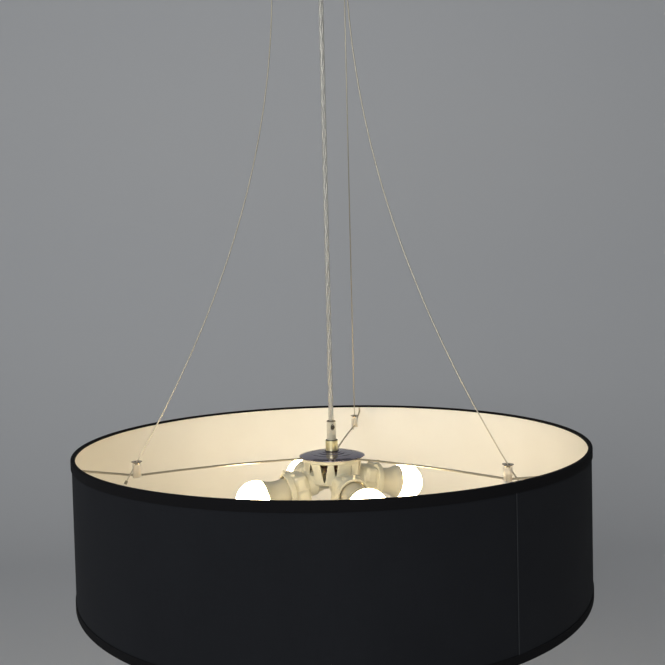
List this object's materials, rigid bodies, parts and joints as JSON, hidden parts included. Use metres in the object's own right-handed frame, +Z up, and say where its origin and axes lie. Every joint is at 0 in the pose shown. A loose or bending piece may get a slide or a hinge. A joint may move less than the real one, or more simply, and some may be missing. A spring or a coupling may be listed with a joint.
{
  "type": "chandelier",
  "caption": "Wide black drum shade with a pale lining, hung on thin steel cables, with a cluster of opal globe bulbs on a white holder under a chromed disc.",
  "frame": {"origin": "middle of the ceiling strap's top face, which lies against the ceiling", "axes": "+Z up into the ceiling and along the shade's axis, -Y towards the picture's camera, +X to its right"},
  "size_m": [0.6016, 0.6016, 0.77],
  "materials": {
    "black_fabric": "matte",
    "black_tape": "matte",
    "pale_lining": "satin",
    "steel_wire": "satin",
    "chrome": "polished",
    "nickel": "satin",
    "dark_metal": "satin",
    "steel_cable": "satin",
    "clear_plastic": "gloss",
    "clear_cord": "gloss",
    "white_plastic": "satin",
    "brass": "satin",
    "opal": "satin",
    "zinc": "satin",
    "brown_wire": "satin"
  },
  "bodies": {
    "canopy": {"ceiling_strap": "zinc", "canopy_cup": "chrome", "terminal_block": "white_plastic", "canopy_cord_entry": "white_plastic", "power_cord": "clear_cord", "cable_anchor_1": "nickel", "suspension_cable_1": "steel_cable", "cable_anchor_2": "nickel", "suspension_cable_2": "steel_cable", "cable_anchor_3": "nickel", "suspension_cable_3": "steel_cable"},
    "shade": {"cord_grip": "clear_plastic", "coupling_sleeve": "nickel", "threaded_tube": "zinc", "cover_disc": "chrome", "hub_nut": "zinc", "spider_hub": "steel_wire", "top_ring": "steel_wire", "bottom_ring": "steel_wire", "shade_lining": "pale_lining", "shade_fabric": "black_fabric", "top_tape": "black_tape", "bottom_tape": "black_tape", "lampholder": "white_plastic", "hub_wiring": "brown_wire", "spoke_1": "steel_wire", "cable_grip_1": "clear_plastic", "cable_tail_1": "steel_cable", "spoke_2": "steel_wire", "cable_grip_2": "clear_plastic", "cable_tail_2": "steel_cable", "spoke_3": "steel_wire", "cable_grip_3": "clear_plastic", "cable_tail_3": "steel_cable", "screw_shell_1": "brass", "screw_shell_2": "brass", "screw_shell_3": "brass", "screw_shell_4": "brass"},
    "collar_1": {"grip_collar_1": "dark_metal"},
    "collar_2": {"grip_collar_2": "dark_metal"},
    "collar_3": {"grip_collar_3": "dark_metal"},
    "side_screw_left": {"canopy_screw_left": "nickel"},
    "side_screw_right": {"canopy_screw_right": "nickel"},
    "clamp_screw": {"cord_grip_screw": "dark_metal"},
    "bulb_1_contact": {"bulb_contact_1": "dark_metal"},
    "bulb_1": {"bulb_cap_1": "nickel", "bulb_skirt_1": "white_plastic", "bulb_globe_1": "opal"},
    "bulb_2_contact": {"bulb_contact_2": "dark_metal"},
    "bulb_2": {"bulb_cap_2": "nickel", "bulb_skirt_2": "white_plastic", "bulb_globe_2": "opal"},
    "bulb_3_contact": {"bulb_contact_3": "dark_metal"},
    "bulb_3": {"bulb_cap_3": "nickel", "bulb_skirt_3": "white_plastic", "bulb_globe_3": "opal"},
    "bulb_4_contact": {"bulb_contact_4": "dark_metal"},
    "bulb_4": {"bulb_cap_4": "nickel", "bulb_skirt_4": "white_plastic", "bulb_globe_4": "opal"}
  },
  "joints": [
    {"name": "shade_height", "type": "slide", "parent": "canopy", "child": "shade", "axis": [0, 0, 1], "range_m": [0, 0.2], "deforming": ["power_cord", "suspension_cable_1", "suspension_cable_2", "suspension_cable_3"]},
    {"name": "grip_release_1", "type": "slide", "parent": "shade", "child": "collar_1", "axis": [0, 0, -1], "range_m": [0, 0.0012], "stiffness_N_per_m": 600, "springref_m": -0.0005},
    {"name": "grip_release_2", "type": "slide", "parent": "shade", "child": "collar_2", "axis": [0, 0, -1], "range_m": [0, 0.0012], "stiffness_N_per_m": 600, "springref_m": -0.0005},
    {"name": "grip_release_3", "type": "slide", "parent": "shade", "child": "collar_3", "axis": [0, 0, -1], "range_m": [0, 0.0012], "stiffness_N_per_m": 600, "springref_m": -0.0005},
    {"name": "canopy_screw_left_turn", "type": "hinge", "parent": "canopy", "child": "side_screw_left", "pos_m": [-0.0683, 0, -0.011], "axis": [-1, 0, 0], "range_deg": [0, 720]},
    {"name": "canopy_screw_right_turn", "type": "hinge", "parent": "canopy", "child": "side_screw_right", "pos_m": [0.0683, 0, -0.011], "axis": [1, 0, 0], "range_deg": [0, 720]},
    {"name": "cord_grip_screw_turn", "type": "hinge", "parent": "shade", "child": "clamp_screw", "pos_m": [0.0015, -0.0056, -0.5911], "axis": [0.2588, -0.9659, 0], "range_deg": [0, 720]},
    {"name": "bulb_1_out", "type": "slide", "parent": "shade", "child": "bulb_1_contact", "axis": [0.9051, 0.3842, -0.1822], "range_m": [0, 0.0164]},
    {"name": "bulb_1_turn", "type": "hinge", "parent": "bulb_1_contact", "child": "bulb_1", "pos_m": [0.05566, 0.02363, -0.66301], "axis": [0.9051, 0.3842, -0.1822], "range_deg": [0, 1620]},
    {"name": "bulb_2_out", "type": "slide", "parent": "shade", "child": "bulb_2_contact", "axis": [-0.3842, 0.9051, -0.1822], "range_m": [0, 0.0164]},
    {"name": "bulb_2_turn", "type": "hinge", "parent": "bulb_2_contact", "child": "bulb_2", "pos_m": [-0.02363, 0.05566, -0.66301], "axis": [-0.3842, 0.9051, -0.1822], "range_deg": [0, 1620]},
    {"name": "bulb_3_out", "type": "slide", "parent": "shade", "child": "bulb_3_contact", "axis": [-0.9051, -0.3842, -0.1822], "range_m": [0, 0.0164]},
    {"name": "bulb_3_turn", "type": "hinge", "parent": "bulb_3_contact", "child": "bulb_3", "pos_m": [-0.05566, -0.02363, -0.66301], "axis": [-0.9051, -0.3842, -0.1822], "range_deg": [0, 1620]},
    {"name": "bulb_4_out", "type": "slide", "parent": "shade", "child": "bulb_4_contact", "axis": [0.3842, -0.9051, -0.1822], "range_m": [0, 0.0164]},
    {"name": "bulb_4_turn", "type": "hinge", "parent": "bulb_4_contact", "child": "bulb_4", "pos_m": [0.02363, -0.05566, -0.66301], "axis": [0.3842, -0.9051, -0.1822], "range_deg": [0, 1620]}
  ],
  "couplings": [
    {"joint": "bulb_1_out", "follows": "bulb_1_turn", "m_per_rad": 0.00057757},
    {"joint": "bulb_2_out", "follows": "bulb_2_turn", "m_per_rad": 0.00057757},
    {"joint": "bulb_3_out", "follows": "bulb_3_turn", "m_per_rad": 0.00057757},
    {"joint": "bulb_4_out", "follows": "bulb_4_turn", "m_per_rad": 0.00057757}
  ]
}
